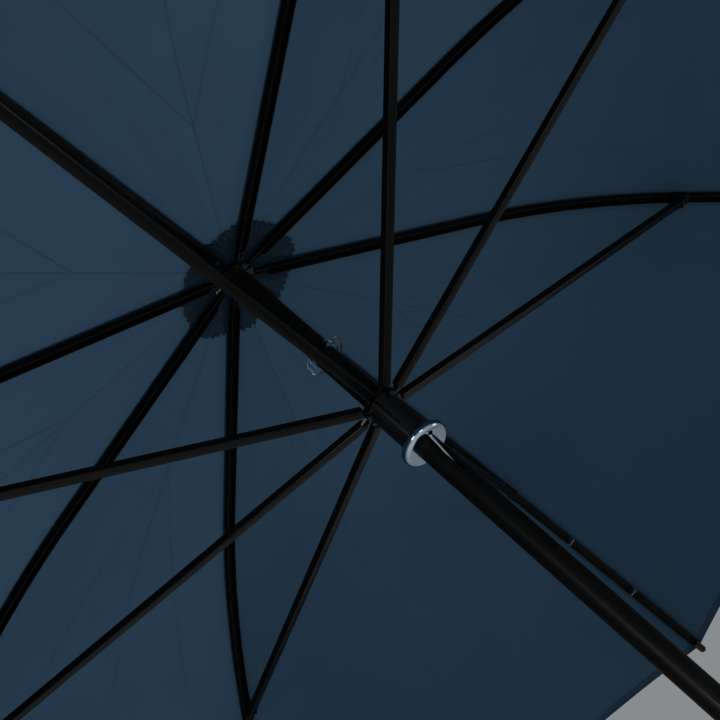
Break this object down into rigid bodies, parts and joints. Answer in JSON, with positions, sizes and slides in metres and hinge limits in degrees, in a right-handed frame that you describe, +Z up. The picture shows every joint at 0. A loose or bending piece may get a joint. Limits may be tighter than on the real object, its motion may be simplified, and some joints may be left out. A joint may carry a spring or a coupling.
{
  "type": "patio umbrella with base",
  "caption": "Push-up garden umbrella with channel ribs and stretchers, sliding runner with spring catch, two-part pole and round weighted base with clamp knob.",
  "frame": {"origin": "floor, on the pole axis", "axes": "+Z up along the pole, +X along rib 1 and towards the clamp knob"},
  "size_m": [2.0778, 2.0778, 2.2498],
  "materials": {
    "black_steel": "gloss",
    "black_plastic": "gloss",
    "navy_cloth": "matte",
    "bright_steel": "bright",
    "chrome": "polished",
    "clear_plastic": "clear",
    "concrete": "matte",
    "black_rubber": "matte"
  },
  "bodies": {
    "base": {"base_weight": "concrete", "socket_tube": "black_steel", "foot_ring": "black_rubber"},
    "mast": {"upper_pole": "black_steel", "lower_pole": "black_steel", "crown_notch": "black_plastic", "crown_wire": "bright_steel", "crown_cap": "black_plastic", "finial": "black_plastic", "rosette": "navy_cloth", "stop_ring": "clear_plastic", "catch_rivet": "bright_steel"},
    "catch": {"catch_spring": "bright_steel"},
    "snap": {"snap_button": "bright_steel"},
    "pad": {"pressure_pad": "black_rubber"},
    "clamp": {"clamp_screw": "bright_steel", "clamp_knob": "black_plastic"},
    "runner_body": {"runner": "black_plastic", "runner_wire": "bright_steel", "chrome_collar": "chrome"},
    "rib_body_1": {"rib_1": "black_steel", "joint_clip_1": "black_steel", "rib_tip_1": "black_plastic", "canopy_1": "navy_cloth"},
    "stretcher_body_1": {"stretcher_1": "black_steel"},
    "rib_body_2": {"rib_2": "black_steel", "joint_clip_2": "black_steel", "rib_tip_2": "black_plastic", "canopy_2": "navy_cloth"},
    "stretcher_body_2": {"stretcher_2": "black_steel"},
    "rib_body_3": {"rib_3": "black_steel", "joint_clip_3": "black_steel", "rib_tip_3": "black_plastic", "canopy_3": "navy_cloth"},
    "stretcher_body_3": {"stretcher_3": "black_steel"},
    "rib_body_4": {"rib_4": "black_steel", "joint_clip_4": "black_steel", "rib_tip_4": "black_plastic", "canopy_4": "navy_cloth"},
    "stretcher_body_4": {"stretcher_4": "black_steel"},
    "rib_body_5": {"rib_5": "black_steel", "joint_clip_5": "black_steel", "rib_tip_5": "black_plastic", "canopy_5": "navy_cloth"},
    "stretcher_body_5": {"stretcher_5": "black_steel"},
    "rib_body_6": {"rib_6": "black_steel", "joint_clip_6": "black_steel", "rib_tip_6": "black_plastic", "canopy_6": "navy_cloth"},
    "stretcher_body_6": {"stretcher_6": "black_steel"},
    "rib_body_7": {"rib_7": "black_steel", "joint_clip_7": "black_steel", "rib_tip_7": "black_plastic", "canopy_7": "navy_cloth"},
    "stretcher_body_7": {"stretcher_7": "black_steel"},
    "rib_body_8": {"rib_8": "black_steel", "joint_clip_8": "black_steel", "rib_tip_8": "black_plastic", "canopy_8": "navy_cloth"},
    "stretcher_body_8": {"stretcher_8": "black_steel"}
  },
  "joints": [
    {"name": "mast_height", "type": "slide", "parent": "base", "child": "mast", "axis": [0, 0, 1], "range_m": [0, 0.2]},
    {"name": "canopy_fold", "type": "hinge", "parent": "mast", "child": "rib_body_1", "pos_m": [0.0165, 0, 2.18], "axis": [0, 1, 0], "range_deg": [0, 68.5], "deforming": ["canopy_1", "canopy_2", "canopy_3", "canopy_4", "canopy_5", "canopy_6", "canopy_7", "canopy_8", "rosette", "catch_spring"]},
    {"name": "rib_2_fold", "type": "hinge", "parent": "mast", "child": "rib_body_2", "pos_m": [0.01167, 0.01167, 2.18], "axis": [-0.7071, 0.7071, 0], "range_deg": [0, 68.5]},
    {"name": "rib_3_fold", "type": "hinge", "parent": "mast", "child": "rib_body_3", "pos_m": [0, 0.0165, 2.18], "axis": [-1, 0, 0], "range_deg": [0, 68.5]},
    {"name": "rib_4_fold", "type": "hinge", "parent": "mast", "child": "rib_body_4", "pos_m": [-0.01167, 0.01167, 2.18], "axis": [-0.7071, -0.7071, 0], "range_deg": [0, 68.5]},
    {"name": "rib_5_fold", "type": "hinge", "parent": "mast", "child": "rib_body_5", "pos_m": [-0.0165, 0, 2.18], "axis": [0, -1, 0], "range_deg": [0, 68.5]},
    {"name": "rib_6_fold", "type": "hinge", "parent": "mast", "child": "rib_body_6", "pos_m": [-0.01167, -0.01167, 2.18], "axis": [0.7071, -0.7071, 0], "range_deg": [0, 68.5]},
    {"name": "rib_7_fold", "type": "hinge", "parent": "mast", "child": "rib_body_7", "pos_m": [0, -0.0165, 2.18], "axis": [1, 0, 0], "range_deg": [0, 68.5]},
    {"name": "rib_8_fold", "type": "hinge", "parent": "mast", "child": "rib_body_8", "pos_m": [0.01167, -0.01167, 2.18], "axis": [0.7071, 0.7071, 0], "range_deg": [0, 68.5]},
    {"name": "stretcher_1_turn", "type": "hinge", "parent": "rib_body_1", "child": "stretcher_body_1", "pos_m": [0.617, 0, 2.0545], "axis": [0, 1, 0], "range_deg": [-137, 0]},
    {"name": "stretcher_2_turn", "type": "hinge", "parent": "rib_body_2", "child": "stretcher_body_2", "pos_m": [0.43628, 0.43628, 2.0545], "axis": [-0.7071, 0.7071, 0], "range_deg": [-137, 0]},
    {"name": "stretcher_3_turn", "type": "hinge", "parent": "rib_body_3", "child": "stretcher_body_3", "pos_m": [0, 0.617, 2.0545], "axis": [-1, 0, 0], "range_deg": [-137, 0]},
    {"name": "stretcher_4_turn", "type": "hinge", "parent": "rib_body_4", "child": "stretcher_body_4", "pos_m": [-0.43628, 0.43628, 2.0545], "axis": [-0.7071, -0.7071, 0], "range_deg": [-137, 0]},
    {"name": "stretcher_5_turn", "type": "hinge", "parent": "rib_body_5", "child": "stretcher_body_5", "pos_m": [-0.617, 0, 2.0545], "axis": [0, -1, 0], "range_deg": [-137, 0]},
    {"name": "stretcher_6_turn", "type": "hinge", "parent": "rib_body_6", "child": "stretcher_body_6", "pos_m": [-0.43628, -0.43628, 2.0545], "axis": [0.7071, -0.7071, 0], "range_deg": [-137, 0]},
    {"name": "stretcher_7_turn", "type": "hinge", "parent": "rib_body_7", "child": "stretcher_body_7", "pos_m": [0, -0.617, 2.0545], "axis": [1, 0, 0], "range_deg": [-137, 0]},
    {"name": "stretcher_8_turn", "type": "hinge", "parent": "rib_body_8", "child": "stretcher_body_8", "pos_m": [0.43628, -0.43628, 2.0545], "axis": [0.7071, 0.7071, 0], "range_deg": [-137, 0]},
    {"name": "runner_slide", "type": "hinge", "parent": "stretcher_body_1", "child": "runner_body", "pos_m": [0.0165, 0, 1.929], "axis": [0, 1, 0], "range_deg": [0, 68.5]},
    {"name": "catch_press", "type": "hinge", "parent": "mast", "child": "catch", "pos_m": [0.00582, 0.00489, 1.692], "axis": [-0.6428, 0.766, 0], "range_deg": [-2.1, 0], "stiffness_Nm_per_rad": 30, "springref_deg": 0.57},
    {"name": "snap_press", "type": "slide", "parent": "mast", "child": "snap", "axis": [0, 1, 0], "range_m": [-0.004, 0], "stiffness_N_per_m": 2500, "springref_m": 0.001},
    {"name": "pad_slide", "type": "slide", "parent": "base", "child": "pad", "axis": [1, 0, 0], "range_m": [0, 0.0031]},
    {"name": "clamp_turn", "type": "hinge", "parent": "pad", "child": "clamp", "pos_m": [0.05, 0, 0.35], "axis": [1, 0, 0], "range_deg": [0, 720]}
  ],
  "couplings": [
    {"joint": "rib_2_fold", "follows": "canopy_fold", "ratio": 1},
    {"joint": "rib_3_fold", "follows": "canopy_fold", "ratio": 1},
    {"joint": "rib_4_fold", "follows": "canopy_fold", "ratio": 1},
    {"joint": "rib_5_fold", "follows": "canopy_fold", "ratio": 1},
    {"joint": "rib_6_fold", "follows": "canopy_fold", "ratio": 1},
    {"joint": "rib_7_fold", "follows": "canopy_fold", "ratio": 1},
    {"joint": "rib_8_fold", "follows": "canopy_fold", "ratio": 1},
    {"joint": "stretcher_1_turn", "follows": "canopy_fold", "ratio": -2},
    {"joint": "stretcher_2_turn", "follows": "canopy_fold", "ratio": -2},
    {"joint": "stretcher_3_turn", "follows": "canopy_fold", "ratio": -2},
    {"joint": "stretcher_4_turn", "follows": "canopy_fold", "ratio": -2},
    {"joint": "stretcher_5_turn", "follows": "canopy_fold", "ratio": -2},
    {"joint": "stretcher_6_turn", "follows": "canopy_fold", "ratio": -2},
    {"joint": "stretcher_7_turn", "follows": "canopy_fold", "ratio": -2},
    {"joint": "stretcher_8_turn", "follows": "canopy_fold", "ratio": -2},
    {"joint": "runner_slide", "follows": "canopy_fold", "ratio": 1},
    {"joint": "pad_slide", "follows": "clamp_turn", "m_per_rad": 0.00023873}
  ]
}
